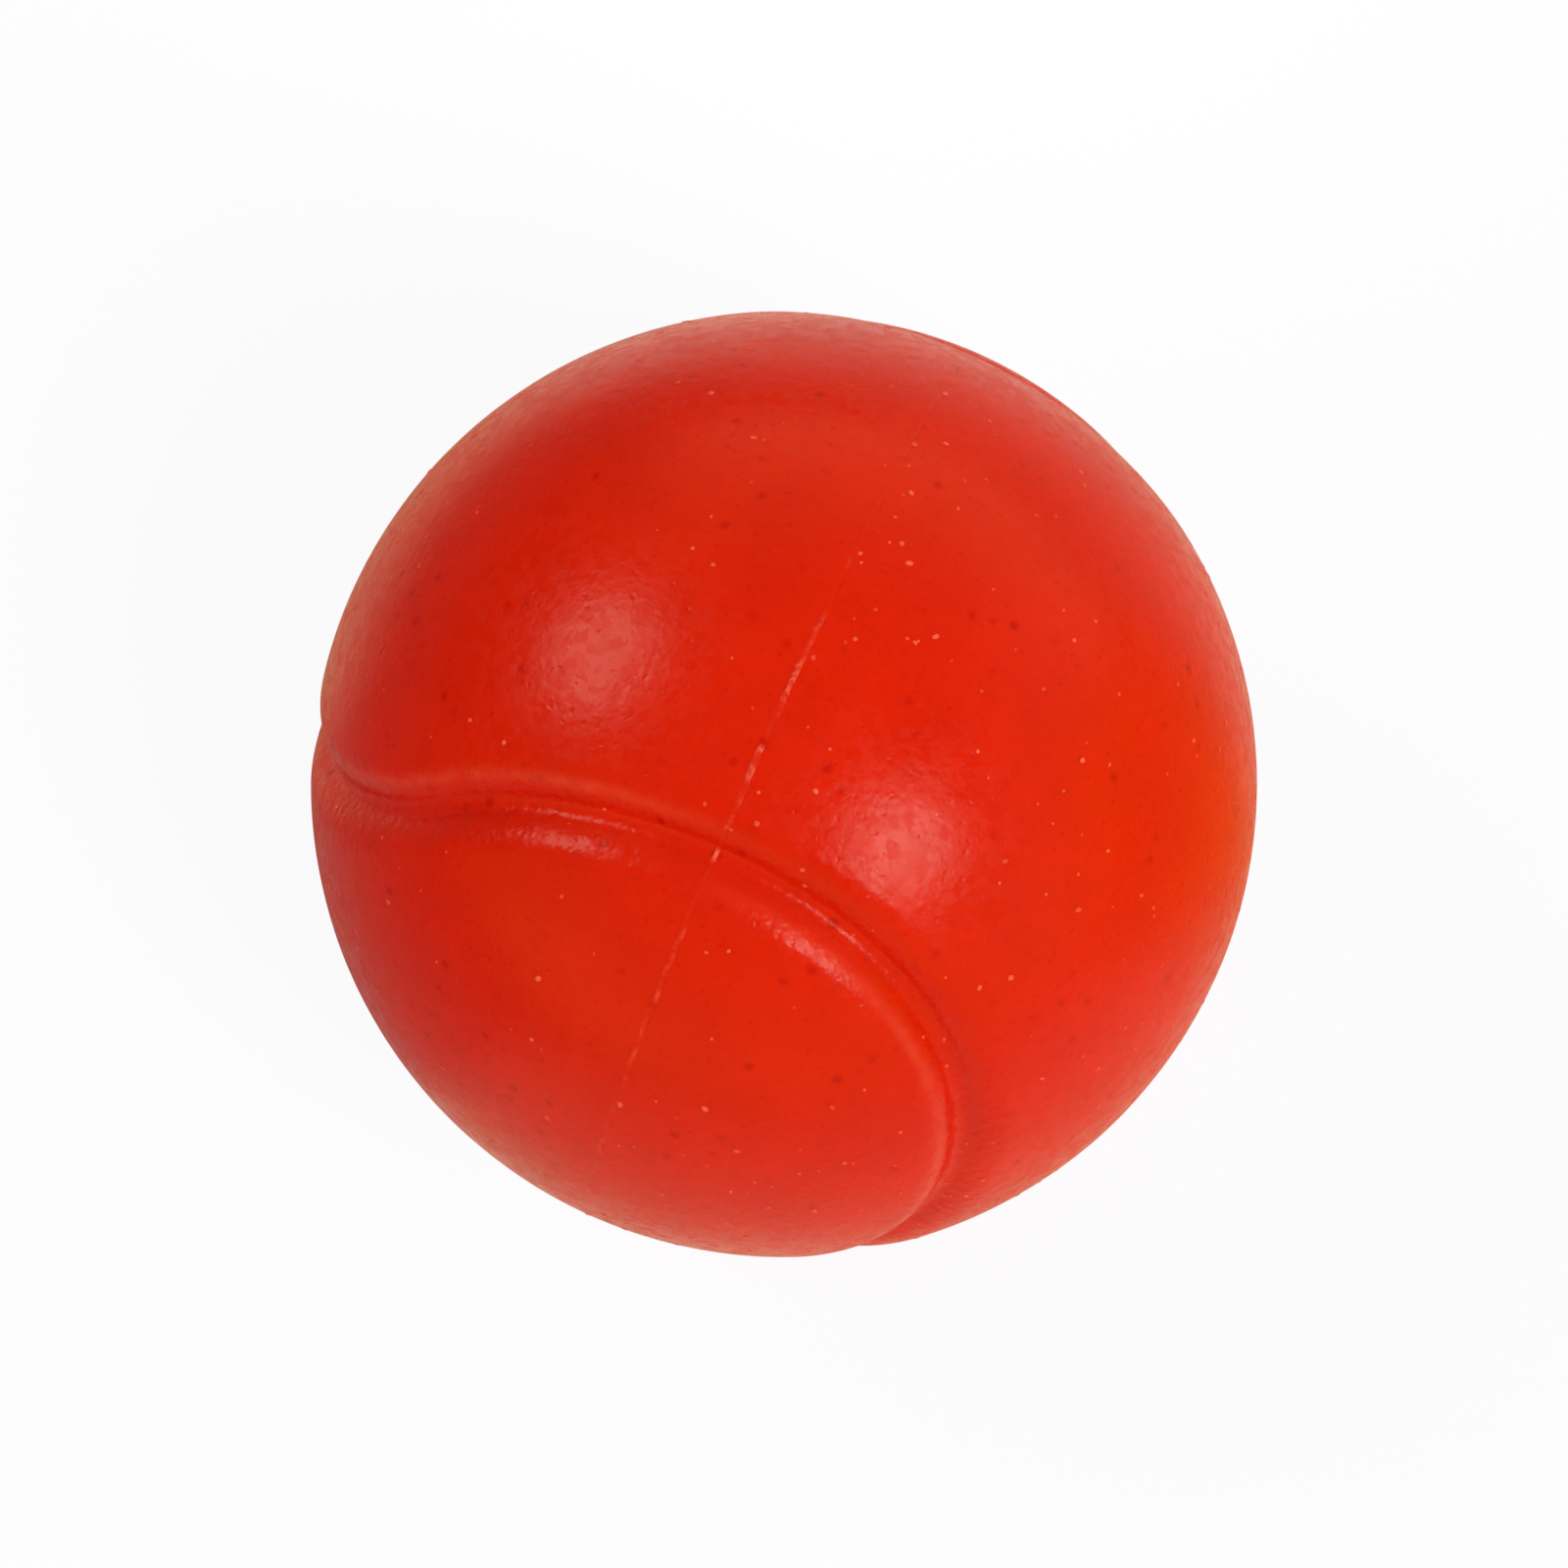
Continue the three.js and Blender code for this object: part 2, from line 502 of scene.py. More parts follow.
def seamed_ball_tree(groove, material):
    """The outer surface. Columns run along the seam's four half circles, and rows run from one panel's spine
    across the groove to the other panel's spine."""
    inputs = {
        "Columns": count(SKIN_COLUMNS),
        "Rows": count(SKIN_ROWS),
        "Ball Radius": number(BALL_RADIUS),
        "Groove Rows Share": number(GROOVE_ROWS_SHARE),
        "Groove Angle": number(SEAM_WIDTH / 2 / BALL_RADIUS),
        "Lump Height": number(LUMP_HEIGHT),
    }
    tree, given, result = new_tree("Seamed Ball", "GeometryNodeTree", inputs, SHAPE)
    columns = Value(tree, given["Columns"])
    rows = Value(tree, given["Rows"])
    mesh, across, up = grid_share(tree, columns, rows)

    share = (up - 0.5) * 2
    lip_share = Value(tree, given["Groove Rows Share"])
    lip_angle = Value(tree, given["Groove Angle"])
    in_groove = share.size().ramp(0, lip_share, 0, lip_angle)
    on_panel = share.size().ramp(lip_share, 1, 0, ARC_REACH - lip_angle)
    away = in_groove + on_panel
    direction = seam_direction(tree, across, away, share)

    depth = groove_depth(tree, groove, direction)
    radius = Value(tree, given["Ball Radius"])
    lump = noise(tree, scaled(tree, direction, radius), LUMP_SIZE) - 0.5
    height = radius - depth + lump * Value(tree, given["Lump Height"])
    from_lip = (away * radius - LIP_HIGHLIGHT_PLACE).size()
    place = scaled(tree, direction, height)
    # the painted highlight on the groove's lips, kept on the points as a pale mark
    with_lip_highlight = marked(tree, mesh, PALE_AND_HIGHLIGHT_MARK, painted_lip_highlight(tree, place, from_lip, share))
    crumble = (away * radius).ramp(CRUMBLE_FADE, CRUMBLE_END, 1, 0, smooth=True)
    crumbled = marked(tree, with_lip_highlight, CRUMBLE_MARK, crumble)
    finish_shape(tree, crumbled, place, material, result)
    return tree


def painted_lip_highlight(tree, place, from_lip, share):
    """A painted highlight along the groove's lips: how pale they are painted, in patches, where light would
    glance off them.
    On the left half it is one panel's lip, and on the right half the other's."""
    x, _, _ = separated(tree, place)
    on_highlit_lip = (x * share.math("SIGN") / BALL_RADIUS).ramp(*LIP_HIGHLIGHT_FADE, 1, 0)
    patchy = noise(tree, place, LIP_HIGHLIGHT_PATCH).ramp(*NOISE_SPAN, *LIP_HIGHLIGHT_PATCHINESS)
    return from_lip.ramp(0, LIP_HIGHLIGHT_WIDTH, LIP_HIGHLIGHT_STRENGTH, 0, smooth=True) * on_highlit_lip * patchy


def flash_dashes(tree, on_skin, front_to_back):
    """How proud the flash stands along its ring. It is torn into dashes with knots in them, and it is lower
    towards the front and the back."""
    breaks = noise(tree, on_skin, DASH_SIZE, DASH_DETAIL, DASH_ROUGHNESS, DASH_SEED)
    torn = breaks.ramp(*DASH_SPAN, smooth=True)
    from_front = front_to_back.ramp(*FRONT_FADE, FRONT_HEIGHT, 1)
    to_back = front_to_back.ramp(*BACK_FADE, 1, BACK_HEIGHT)
    knots = noise(tree, on_skin, KNOT_SIZE, seed=KNOT_SEED).ramp(*KNOT_SPAN, KNOT_LOW, 1, smooth=True)
    return (torn * knots + FLASH_FAINT) * (from_front * to_back)


def flash_ring_tree(groove, material):
    """The ring of flash. Columns run round the parting circle, and rows run once round the flash's section:
    over its crest, down one side, along underneath and up the other side."""
    inputs = {
        "Columns": count(FLASH_COLUMNS),
        "Rows": count(FLASH_ROWS),
        "Ball Radius": number(BALL_RADIUS),
        "Width": number(FLASH_WIDTH),
        "Height": number(FLASH_HEIGHT),
        "Thickness": number(SKIN_THICKNESS),
        "Wander": number(FLASH_WANDER),
        "Nub Height": number(NUB_HEIGHT),
    }
    tree, given, result = new_tree("Flash Ring", "GeometryNodeTree", inputs, SHAPE)
    mesh, around, round_section = grid_share(tree, Value(tree, given["Columns"]), Value(tree, given["Rows"]))
    angle = around * (2 * pi)
    direction = combined(tree, 0.0, angle.cos(), angle.sin())
    radius = Value(tree, given["Ball Radius"])
    depth = groove_depth(tree, groove, direction)

    over = round_section.ramp(0, CREST_END, 0, pi)
    width = Value(tree, given["Width"])
    across = over.cos() * width * -0.5 - round_section.ramp(SIDE_END, UNDER_END) * width
    down = round_section.ramp(CREST_END, SIDE_END) - round_section.ramp(UNDER_END, 1)

    on_skin = scaled(tree, direction, radius)
    dashes = flash_dashes(tree, on_skin, angle.cos())
    nub = depth.ramp(SEAM_DEPTH * NUB_START, SEAM_DEPTH, smooth=True)
    ridge = over.sin()
    crest = dashes * Value(tree, given["Height"]) + nub * Value(tree, given["Nub Height"])
    wobble = noise(tree, on_skin, WOBBLE_SIZE, detail=WOBBLE_DETAIL, seed=WOBBLE_SEED) - 0.5
    height = radius - depth + ridge ** CREST_SHARPNESS * crest - down * Value(tree, given["Thickness"])
    x = across + ridge * wobble * Value(tree, given["Wander"])
    place = combined(tree, x, angle.cos() * height, angle.sin() * height)
    # The crest and the nub are painted paler: partly the flash's own paler colour, partly a painted
    # highlight.
    pale_and_highlight = ridge ** PALE_AND_HIGHLIGHT_SHARPNESS * (dashes * FLASH_PALE_AND_HIGHLIGHT + nub).math("MINIMUM", 1)
    finish_shape(tree, marked(tree, mesh, PALE_AND_HIGHLIGHT_MARK, pale_and_highlight), place, material, result)
    return tree


def core_tree(groove, material):
    """The soft core: a ball with the same groove, its surface broken by the open cells of the foam."""
    inputs = {
        "Subdivisions": count(CORE_SUBDIVISIONS),
        "Core Radius": number(BALL_RADIUS - SKIN_THICKNESS - BOND_GAP),
        "Cell Depth": number(CELL_DEPTH),
    }
    tree, given, result = new_tree("Foam Core", "GeometryNodeTree", inputs, SHAPE)
    ball = add(tree, "GeometryNodeMeshIcoSphere", {"Radius": 1.0, "Subdivisions": given["Subdivisions"]})
    direction = tree.nodes.new("GeometryNodeInputPosition").outputs[0]
    radius = Value(tree, given["Core Radius"])
    depth = groove_depth(tree, groove, direction)
    values = {"Vector": scaled(tree, direction, radius), "Scale": 1 / CELL_SIZE}
    cells = add(tree, "ShaderNodeTexVoronoi", values)
    from_middle = Value(tree, cells.outputs["Distance"])
    hollow = from_middle.ramp(*CELL_SPAN, 1, 0, smooth=True) * Value(tree, given["Cell Depth"])
    place = scaled(tree, direction, radius - depth - hollow)
    finish_shape(tree, ball.outputs["Mesh"], place, material, result)
    return tree


def bead_shape(tree, place):
    """One uneven, flattened bead, marked palest at its top: a pale speck with a painted glint on it."""
    values = {"Segments": BEAD_SEGMENTS, "Rings": BEAD_RINGS, "Radius": 1.0}
    bead = add(tree, "GeometryNodeMeshUVSphere", values)
    _, _, rise = separated(tree, place)
    shaded = marked(tree, bead.outputs["Mesh"], PALE_AND_HIGHLIGHT_MARK, rise.math("MAXIMUM", 0))
    uneven = noise(tree, place, BEAD_LUMP) + 0.5
    values = {"Geometry": shaded, "Position": scaled(tree, place, uneven)}
    lumpy = add(tree, "GeometryNodeSetPosition", values)
    values = {"Geometry": lumpy.outputs[0], "Scale": (1, 1, BLISTER_FLATNESS)}
    return add(tree, "GeometryNodeTransform", values).outputs[0]


def blister_tree(material):
    """Small blisters in patches over a skin, each a bead of its own size, stretch, turn and pale tint, partly
    its own colour and partly a painted glint.
    """
    inputs = {
        "Geometry": ("NodeSocketGeometry", None),
        "Per Square Metre": number(BLISTERS_LEFT),
        "Smallest": number(BLISTER_SMALLEST),
        "Largest": number(BLISTER_LARGEST),
        "Seed": count(BLISTER_SEED),
    }
    tree, given, result = new_tree("Blisters", "GeometryNodeTree", inputs, SHAPE)
    place = tree.nodes.new("GeometryNodeInputPosition").outputs[0]
    patches = noise(tree, place, BLISTER_PATCH).ramp(*NOISE_SPAN, *BLISTER_PATCHINESS)
    density = patches * Value(tree, given["Per Square Metre"])
    facing = tree.nodes.new("GeometryNodeInputNormal").outputs[0]
    outward = along(tree, place, facing).math("GREATER_THAN", BALL_RADIUS / 2)
    values = {"Mesh": given["Geometry"], "Selection": outward, "Density": density, "Seed": given["Seed"]}
    points = add(tree, "GeometryNodeDistributePointsOnFaces", values, distribute_method="RANDOM")

    smallest = Value(tree, given["Smallest"])
    size = smallest + chance(tree, SIZE_DRAW) ** 2 * (Value(tree, given["Largest"]) - smallest)
    longer = chance(tree, STRETCH_DRAW, *BLISTER_STRETCH)
    values = {
        "Points": points.outputs["Points"],
        "Instance": bead_shape(tree, place),
        "Rotation": points.outputs["Rotation"],
        "Scale": combined(tree, size * longer, size / longer, size),
    }
    beads = add(tree, "GeometryNodeInstanceOnPoints", values)
    turn = combined(tree, 0.0, 0.0, chance(tree, TURN_DRAW, 0, pi))
    spun = add(tree, "GeometryNodeRotateInstances", {"Instances": beads.outputs[0], "Rotation": turn})
    strength = chance(tree, STRENGTH_DRAW, *BLISTER_STRENGTH)
    strong = marked(tree, spun.outputs[0], STRENGTH_MARK, strength, "INSTANCE")
    real = add(tree, "GeometryNodeRealizeInstances", {"Geometry": strong}).outputs[0]
    faded = marked(tree, real, PALE_AND_HIGHLIGHT_MARK, mark(tree, PALE_AND_HIGHLIGHT_MARK) * mark(tree, STRENGTH_MARK))
    smooth = add(tree, "GeometryNodeSetShadeSmooth", {"Geometry": faded})
    both = tree.nodes.new("GeometryNodeJoinGeometry")
    join(tree, smooth.outputs[0], both.inputs[0])
    join(tree, given["Geometry"], both.inputs[0])
    dressed = add(tree, "GeometryNodeSetMaterial", {"Geometry": both.outputs[0], "Material": material})
    join(tree, dressed.outputs[0], result["Geometry"])
    return tree


def grown(name, tree, sizes=None, base=None):
    """The plain mesh that a geometry tree makes, from a base mesh if it takes one."""
    holder = bpy.data.objects.new(name, base or bpy.data.meshes.new(name))
    bpy.context.scene.collection.objects.link(holder)
    modifier = holder.modifiers.new(name, "NODES")
    modifier.node_group = tree
    for item in tree.interface.items_tree:
        if item.in_out == "INPUT" and item.name in (sizes or {}):
            modifier[item.identifier] = sizes[item.name]
    depsgraph = bpy.context.evaluated_depsgraph_get()
    mesh = bpy.data.meshes.new_from_object(holder.evaluated_get(depsgraph), depsgraph=depsgraph)
    holder.modifiers.remove(modifier)
    bpy.data.objects.remove(holder)
    mesh.name = name
    return mesh


def half_shell(name, surface, side):
    """One half of the skin: the surface on that side of the flash, an inner wall and a flat rim."""
    shell = bmesh.new()
    shell.from_mesh(surface)
    edge = side * FLASH_WIDTH / 2
    everything = shell.verts[:] + shell.edges[:] + shell.faces[:]
    bmesh.ops.bisect_plane(
        shell, geom=everything, dist=WELD, plane_co=(edge, 0, 0), plane_no=(-side, 0, 0), clear_outer=True)
    outer_faces = shell.faces[:]
    inside = {}
    for vertex in shell.verts[:]:
        place = vertex.co * (1 - SKIN_THICKNESS / vertex.co.length)
        if vertex.is_boundary:
            place.x = edge
        inside[vertex] = shell.verts.new(place)
    for border in [line for line in shell.edges if line.is_boundary]:
        loop = border.link_loops[0]
        start = loop.vert
        end = loop.link_loop_next.vert
        rim = shell.faces.new((end, start, inside[start], inside[end]))
        rim.smooth = False
        border.smooth = False
    for face in outer_faces:
        wall = shell.faces.new([inside[vertex] for vertex in reversed(face.verts)])
        wall.smooth = True
    mesh = bpy.data.meshes.new(name)
    shell.to_mesh(mesh)
    shell.free()
    return mesh


# Finishes

def object_place(tree):
    return tree.nodes.new("ShaderNodeTexCoord").outputs["Object"]


def mottle_group():
    """A colour that drifts between two shades, in broad clouds with finer flecks in them."""
    inputs = {
        "Shade": ("NodeSocketColor", opaque(SKIN_RED)),
        "Other Shade": ("NodeSocketColor", opaque(DEEP_RED)),
        "Cloud Size": number(CLOUD_SIZE),
    }
    tree, given, result = new_tree("Mottle", "ShaderNodeTree", inputs, {"Color": "NodeSocketColor"})
    inverse = 1 / Value(tree, given["Cloud Size"])
    values = {
        "Vector": object_place(tree),
        "Scale": inverse,
        "Detail": CLOUD_DETAIL,
        "Roughness": CLOUD_ROUGHNESS,
    }
    clouds = Value(tree, add(tree, "ShaderNodeTexNoise", values).outputs[0])
    blend = clouds.ramp(*NOISE_SPAN, smooth=True)
    join(tree, mixed(tree, blend, given["Shade"], given["Other Shade"]), result["Color"])
    return tree


def ragged_place(tree, amount):
    """The place on the object, pushed about so that round marks become ragged ones."""
    place = object_place(tree)
    values = {"Vector": place, "Scale": 1 / RAGGED_SIZE, "Detail": RAGGED_DETAIL}
    push = add(tree, "ShaderNodeTexNoise", values).outputs["Color"]
    middle = add(tree, "ShaderNodeVectorMath", {0: push, 1: (0.5, 0.5, 0.5)}, operation="SUBTRACT")
    shift = scaled(tree, middle.outputs[0], amount)
    return add(tree, "ShaderNodeVectorMath", {0: place, 1: shift}, operation="ADD").outputs[0]


def pores_group():
    """A mask of small open pores, each a ragged smudge of its own strength."""
    inputs = {
        "Spacing": number(PORE_SPACING),
        "Share": number(PORE_SHARE),
        "Pore Radius": number(PORE_RADIUS),
        "Raggedness": number(PORE_RAGGEDNESS),
    }
    tree, given, result = new_tree("Pores", "ShaderNodeTree", inputs, {"Mask": "NodeSocketFloat"})
    place = ragged_place(tree, given["Raggedness"])
    inverse = 1 / Value(tree, given["Spacing"])
    scatter = add(tree, "ShaderNodeTexVoronoi", {"Vector": place, "Scale": inverse})
    own = add(tree, "ShaderNodeSeparateColor", {"Color": scatter.outputs["Color"]})
    chosen = Value(tree, own.outputs["Red"]).math("LESS_THAN", Value(tree, given["Share"]))
    inside = Value(tree, scatter.outputs["Distance"]).ramp(0, given["Pore Radius"], 1, 0, smooth=True)
    strength = Value(tree, own.outputs["Green"]).ramp(0, 1, PORE_WEAKEST, 1)
    join(tree, inside * chosen * strength, result["Mask"])
    return tree


def peel_group():
    """The orange peel that a mould leaves, as a height about 0.5, and the patches in its gloss, about 0."""
    inputs = {
        "Peel Size": number(PEEL_SIZE),
        "Patch Size": number(PATCH_SIZE),
        "Raggedness": number(PATCH_RAGGEDNESS),
    }
    outputs = {"Height": "NodeSocketFloat", "Patch": "NodeSocketFloat"}
    tree, given, result = new_tree("Orange Peel", "ShaderNodeTree", inputs, outputs)
    inverse = 1 / Value(tree, given["Peel Size"])
    values = {"Vector": object_place(tree), "Scale": inverse, "Detail": PEEL_DETAIL}
    join(tree, add(tree, "ShaderNodeTexNoise", values).outputs[0], result["Height"])
    inverse = 1 / Value(tree, given["Patch Size"])
    values = {"Vector": ragged_place(tree, given["Raggedness"]), "Scale": inverse}
    patches = add(tree, "ShaderNodeTexVoronoi", values)
    own = add(tree, "ShaderNodeSeparateColor", {"Color": patches.outputs["Color"]})
    join(tree, Value(tree, own.outputs["Red"]) - 0.5, result["Patch"])
    return tree


def mixed(tree, factor, first, second):
    node = tree.nodes.new("ShaderNodeMix")
    node.data_type = "RGBA"
    join(tree, factor, node.inputs[MIX_FACTOR])
    join(tree, first, node.inputs[MIX_FIRST])
    join(tree, second, node.inputs[MIX_SECOND])
    return node.outputs[MIX_RESULT]


def opaque(colour):
    return (*colour, 1.0)


def placed(tree, group, values=None):
    return add(tree, "ShaderNodeGroup", values, node_tree=group).outputs


def new_material(name, colour):
    material = bpy.data.materials.new(name)
    material.use_nodes = True
    material.diffuse_color = opaque(colour)
    tree = material.node_tree
    return material, tree, tree.nodes["Principled BSDF"].inputs


def moulded_foam(name, effects):
    """The satin skin of moulded foam: mottled and pored, with painted shade in the pores, orange peel that is
    coarser in the groove, and painted highlights where the shape is marked pale."""
    mottle, pores, peel = effects
    material, tree, shader = new_material(name, SKIN_RED)
    clouds = placed(tree, mottle)
    large = Value(tree, placed(tree, pores)["Mask"])
    values = {
        "Spacing": SMALL_PORE_SPACING,
        "Share": SMALL_PORE_SHARE,
        "Pore Radius": SMALL_PORE_RADIUS,
        "Raggedness": SMALL_PORE_RAGGEDNESS,
    }
    small = Value(tree, placed(tree, pores, values)["Mask"])
    pits = large.math("MAXIMUM", small)
    grain = placed(tree, peel)
    # painted highlights on the lips, the flash and the blisters, kept on the points
    pale = add(tree, "ShaderNodeAttribute", attribute_name=PALE_AND_HIGHLIGHT_MARK).outputs["Fac"]
    # Painted shade: the colour is darkened in the pores, where light would not reach
    pore_shade = large.math("MAXIMUM", small * SMALL_PORE_SHADE)
    pore_shaded = mixed(tree, pore_shade, clouds["Color"], opaque(PORE_SHADE_RED))
    join(tree, mixed(tree, pale, pore_shaded, opaque(PALE_AND_HIGHLIGHT_RED)), shader["Base Color"])
    gloss = Value(tree, grain["Patch"]) * ROUGHNESS_SPREAD + SKIN_ROUGHNESS
    join(tree, gloss, shader["Roughness"])
    crumble = add(tree, "ShaderNodeAttribute", attribute_name=CRUMBLE_MARK).outputs["Fac"]
    coarseness = Value(tree, crumble) * LIP_CRUMBLE + 1
    height = Value(tree, grain["Height"]) * coarseness * PEEL_HEIGHT - pits * PORE_DEPTH
    bump = add(tree, "ShaderNodeBump", {"Height": height, "Strength": 1.0, "Distance": 1.0})
    join(tree, bump.outputs[0], shader["Normal"])
    shader["Specular IOR Level"].default_value = SKIN_SPECULAR
    return material


def open_foam(name, effects):
    """The open-celled core: matt, with its hollows darkened by painted shade."""
    mottle, pores, _ = effects
    material, tree, shader = new_material(name, CORE_RED)
    clouds = placed(tree, mottle, {"Shade": opaque(CORE_RED), "Other Shade": opaque(CORE_DEEP_AND_SHADE_RED)})
    values = {"Spacing": CORE_PORE_SPACING, "Share": CORE_PORE_SHARE, "Pore Radius": CORE_PORE_RADIUS}
    pits = placed(tree, pores, values)["Mask"]
    # painted shade darkens the colour in the foam's hollows
    join(tree, mixed(tree, pits, clouds["Color"], opaque(CORE_DEEP_AND_SHADE_RED)), shader["Base Color"])
    shader["Roughness"].default_value = CORE_ROUGHNESS
    height = 1 - Value(tree, pits)
    bump = add(tree, "ShaderNodeBump", {"Height": height, "Strength": 1.0, "Distance": CORE_PORE_DEPTH})
    join(tree, bump.outputs[0], shader["Normal"])
    return material


# Pieces

def shown(name, mesh, material, node):
    """A finished piece in the scene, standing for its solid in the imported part."""
    mesh.materials.clear()
    mesh.materials.append(material)
    piece = bpy.data.objects.new(name, mesh)
    bpy.context.scene.collection.objects.link(piece)
    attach(piece, "root")
    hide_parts(node)
    return piece


def build_ball():
    effects = (mottle_group(), pores_group(), peel_group())
    skin_finish = moulded_foam("skin_foam", effects)
    flash_finish = moulded_foam("flash_foam", effects)
    core_finish = open_foam("core_foam", effects)
    groove = seam_groove_group()
    surface = grown("seamed_surface", seamed_ball_tree(groove, skin_finish))
    blisters = blister_tree(skin_finish)
    for name, side, density in (("left", -1, BLISTERS_LEFT), ("right", 1, BLISTERS_RIGHT)):
        shell = half_shell("shell_" + name, surface, side)
        sizes = {"Per Square Metre": density, "Seed": side + BLISTER_SEED}
        mesh = grown("skin_half_" + name, blisters, sizes, shell)
        shown("skin_half_" + name, mesh, skin_finish, "skin_" + name)
    flash = grown("flash_ring", flash_ring_tree(groove, flash_finish))
    shown("flash_ring", flash, flash_finish, "parting_flash")
    core = grown("soft_core", core_tree(groove, core_finish))
    shown("soft_core", core, core_finish, "foam_core")


# Studio

def picture_direction(angle):
    """A level direction in the part's frame, by its counter-clockwise angle from the picture's right."""
    turn = VIEW_AZIMUTH + angle
    return (cos(turn), sin(turn), 0.0)


def floor_wedge(tree, place, side):
    """How far a place on the floor lies inside a wedge that opens towards one side of the picture."""
    outward = along(tree, place, picture_direction(side))
    aside = along(tree, place, picture_direction(side + pi / 2)).size()
    return outward - aside * WEDGE_SLOPE


def floor_colour(tree, place):
    """The floor as the ball reflects it: pale under the ball, warm in a wedge on the picture's right, shaded
    in a wedge on its left and dim farther off at its upper left."""
    warm = floor_wedge(tree, place, ORANGE_SIDE).ramp(*WARM_FADE, smooth=True)
    shade = floor_wedge(tree, place, SHADED_SIDE).ramp(*SHADE_FADE, smooth=True)
    dim = along(tree, place, picture_direction(DIM_SIDE)).ramp(*DIM_FADE, smooth=True)
    lit = mixed(tree, warm, opaque(FLOOR_WHITE), opaque(FLOOR_WARM))
    shaded = mixed(tree, shade, lit, opaque(FLOOR_SHADED))
    return mixed(tree, dim, shaded, opaque(FLOOR_DIM))


def floor_finish():
    """White to the camera, with the ball's shadow left in it, and tinted in what the ball reflects."""
    material, tree, shader = new_material("white_floor", FLOOR_WHITE)
    place = object_place(tree)
    path = tree.nodes.new("ShaderNodeLightPath").outputs
    seen = Value(tree, path["Is Camera Ray"])
    plain = mixed(tree, seen, floor_colour(tree, place), opaque(WHITE))
    join(tree, plain, shader["Base Color"])
    shader["Roughness"].default_value = FLOOR_ROUGHNESS
    x, y, _ = separated(tree, place)
    far = (x * x + y * y).root()
    beyond = far.ramp(*WHITENING_FADE, FLOOR_WHITENING, 1, smooth=True)
    white = far.ramp(0, BALL_RADIUS, CONTACT_WHITENING, 1, smooth=True) * beyond * seen
    glow = add(tree, "ShaderNodeEmission", {"Color": opaque(COOL_WHITE), "Strength": 1.0})
    lit = tree.nodes["Principled BSDF"].outputs[0]
    blend = add(tree, "ShaderNodeMixShader", {"Fac": white})
    join(tree, lit, blend.inputs[1])
    join(tree, glow.outputs[0], blend.inputs[2])
    join(tree, blend.outputs[0], tree.nodes["Material Output"].inputs["Surface"])
    return material


def build_floor():
    level = cad_box[0][2]
    mesh = bpy.data.meshes.new("floor")
    reach = FLOOR_REACH
    corners = [(-reach, -reach, level), (reach, -reach, level), (reach, reach, level), (-reach, reach, level)]
    mesh.from_pydata(corners, [], [tuple(range(len(corners)))])
    mesh.materials.append(floor_finish())
    floor = bpy.data.objects.new("floor", mesh)
    bpy.context.scene.collection.objects.link(floor)


def build_world():
    """A warm room for the ball to reflect, dark overhead, with unlike walls. The camera sees plain white."""
    world = bpy.data.worlds.new("studio")
    world.use_nodes = True
    bpy.context.scene.world = world
    tree = world.node_tree
    direction = tree.nodes.new("ShaderNodeTexCoord").outputs["Generated"]
    _, _, height = separated(tree, direction)
    walls = opaque(ROOM_WARM)
    for side, fade, colour in ROOM_WALLS:
        toward = along(tree, direction, picture_direction(side)).ramp(*fade, smooth=True)
        walls = mixed(tree, toward, walls, opaque(colour))
    room = mixed(tree, height.ramp(*CEILING_FADE, smooth=True), walls, opaque(ROOM_CEILING))
    soft = tree.nodes["Background"]
    join(tree, room, soft.inputs["Color"])
    soft.inputs["Strength"].default_value = 1.0
    backdrop = add(tree, "ShaderNodeBackground", {"Color": opaque(WHITE), "Strength": 1.0})
    path = tree.nodes.new("ShaderNodeLightPath").outputs
    blend = add(tree, "ShaderNodeMixShader", {"Fac": path["Is Camera Ray"]})
    join(tree, soft.outputs[0], blend.inputs[1])
    join(tree, backdrop.outputs[0], blend.inputs[2])
    join(tree, blend.outputs[0], tree.nodes["World Output"].inputs["Surface"])


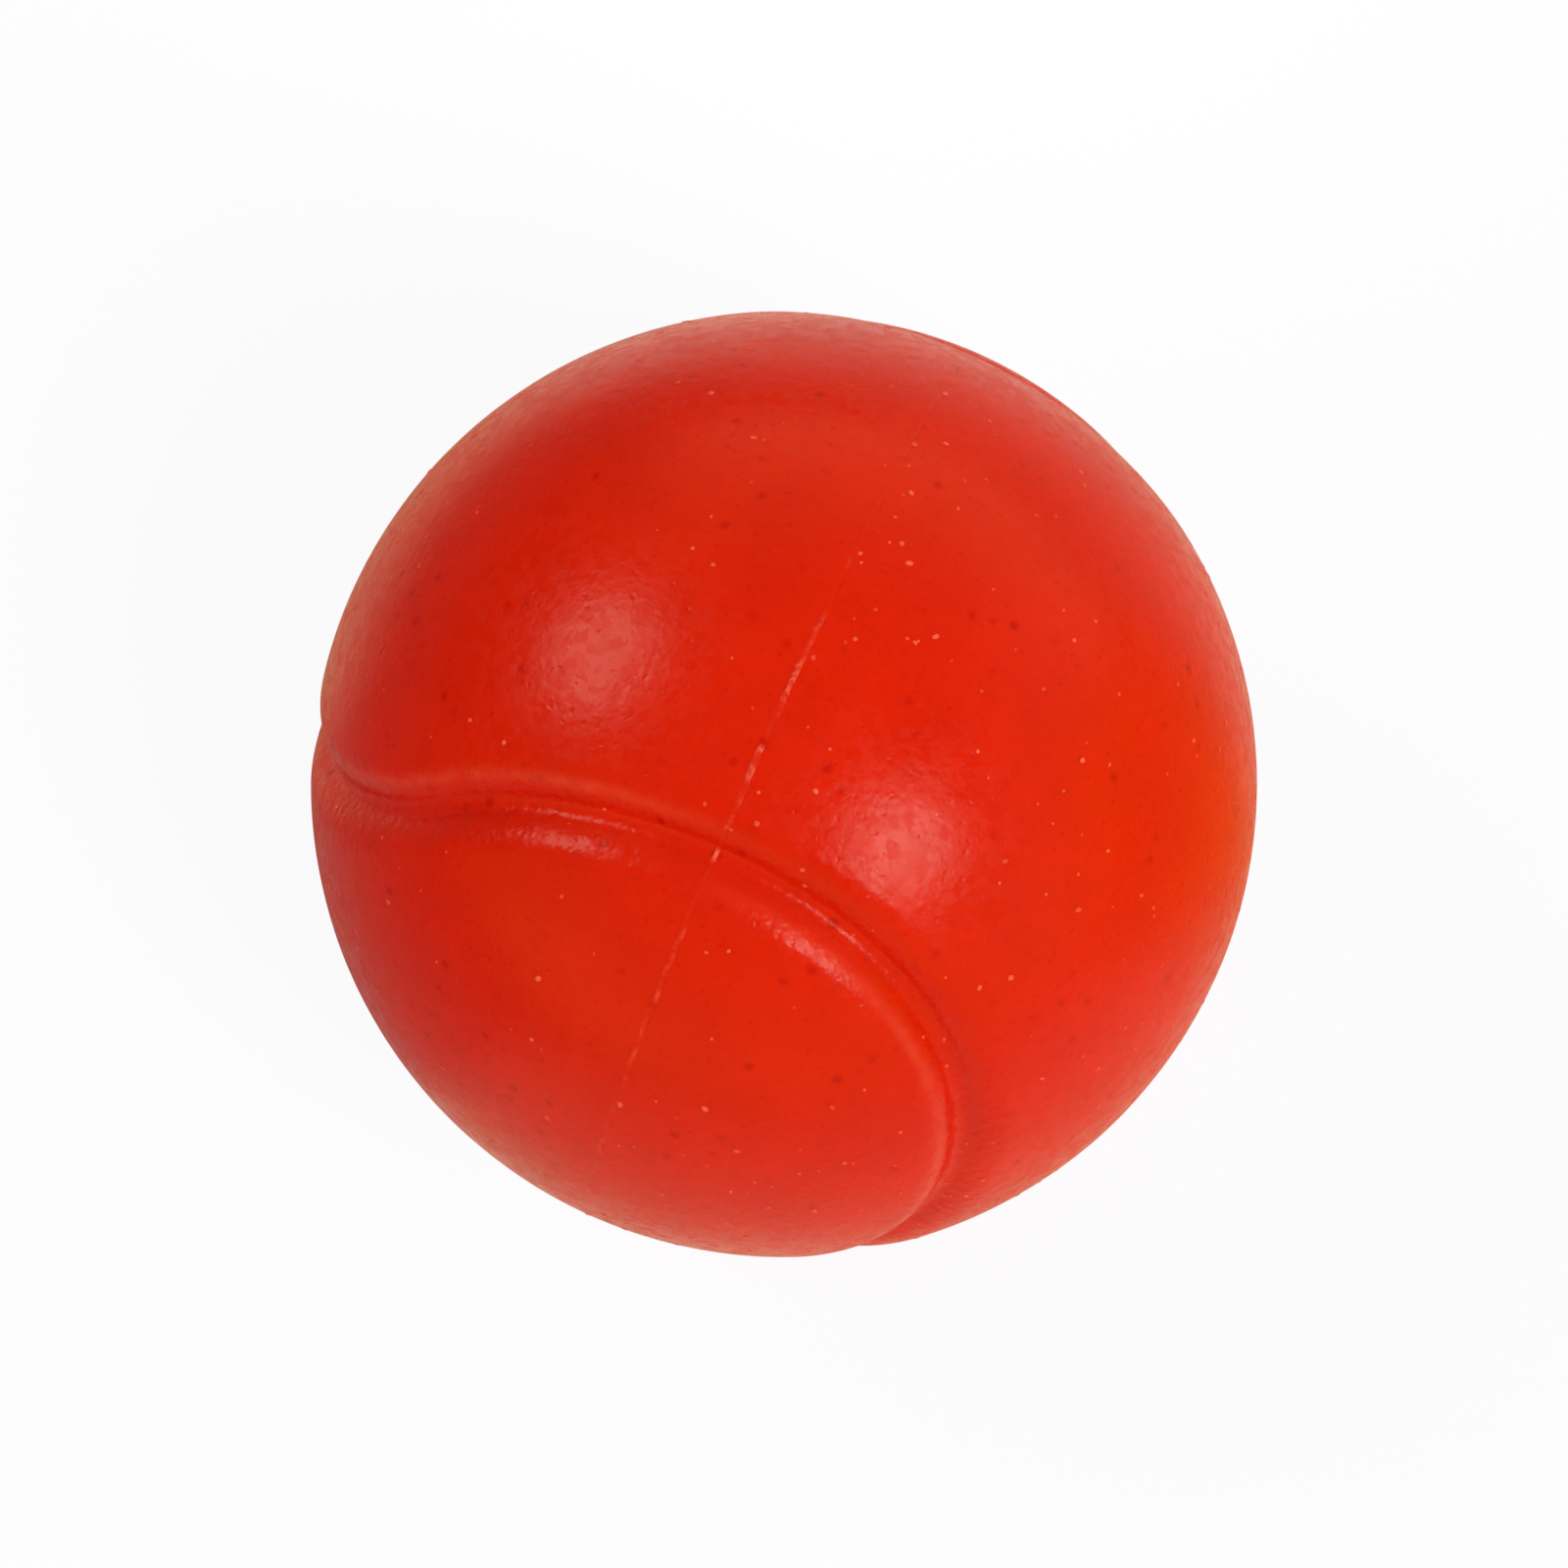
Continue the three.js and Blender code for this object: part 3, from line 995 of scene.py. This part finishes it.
def build_lamp(name, azimuth, elevation, across, power, colour):
    """A soft round lamp that faces the ball."""
    light = bpy.data.lights.new(name, "AREA")
    light.shape = "DISK"
    light.size = across
    light.energy = power
    light.color = colour
    lamp = bpy.data.objects.new(name, light)
    bpy.context.scene.collection.objects.link(lamp)
    away = Vector((cos(elevation) * sin(azimuth), -cos(elevation) * cos(azimuth), sin(elevation)))
    lamp.location = away * LAMP_DISTANCE
    lamp.rotation_euler = away.to_track_quat("Z", "Y").to_euler()


def build_floor_spot():
    """A cool spot straight down on the floor beyond the ball, for a pale edge at the top of the picture."""
    light = bpy.data.lights.new("floor_spot", "SPOT")
    light.energy = SPOT_POWER
    light.color = SPOT_COLOUR
    light.spot_size = SPOT_CONE
    light.spot_blend = 1.0
    lamp = bpy.data.objects.new("floor_spot", light)
    bpy.context.scene.collection.objects.link(lamp)
    lamp.location = Vector(picture_direction(SPOT_SIDE)) * SPOT_OFFSET + Vector((0, 0, SPOT_HEIGHT))


def build_camera():
    data = bpy.data.cameras.new("overhead")
    data.sensor_width = SENSOR_WIDTH
    outline_slope = 1 / sqrt((VIEW_DISTANCE / BALL_RADIUS) ** 2 - 1)
    data.lens = SENSOR_WIDTH / 2 * OUTLINE_SHARE / outline_slope
    data.clip_start = NEAR_CLIP
    camera = bpy.data.objects.new("overhead", data)
    bpy.context.scene.collection.objects.link(camera)
    level = cos(VIEW_ELEVATION)
    toward = Vector((level * sin(VIEW_AZIMUTH), -level * cos(VIEW_AZIMUTH), sin(VIEW_ELEVATION)))
    right = Vector((cos(VIEW_AZIMUTH), sin(VIEW_AZIMUTH), 0))
    up = toward.cross(right)
    turn = Matrix((right, up, toward)).transposed().to_4x4()
    camera.matrix_world = Matrix.Translation(toward * VIEW_DISTANCE) @ turn
    bpy.context.scene.camera = camera


bpy.context.scene.view_settings.view_transform = "Standard"
build_ball()
build_floor()
build_world()
build_lamp("lamp_left", **LEFT_LAMP)
build_lamp("lamp_right", **RIGHT_LAMP)
build_floor_spot()
build_camera()
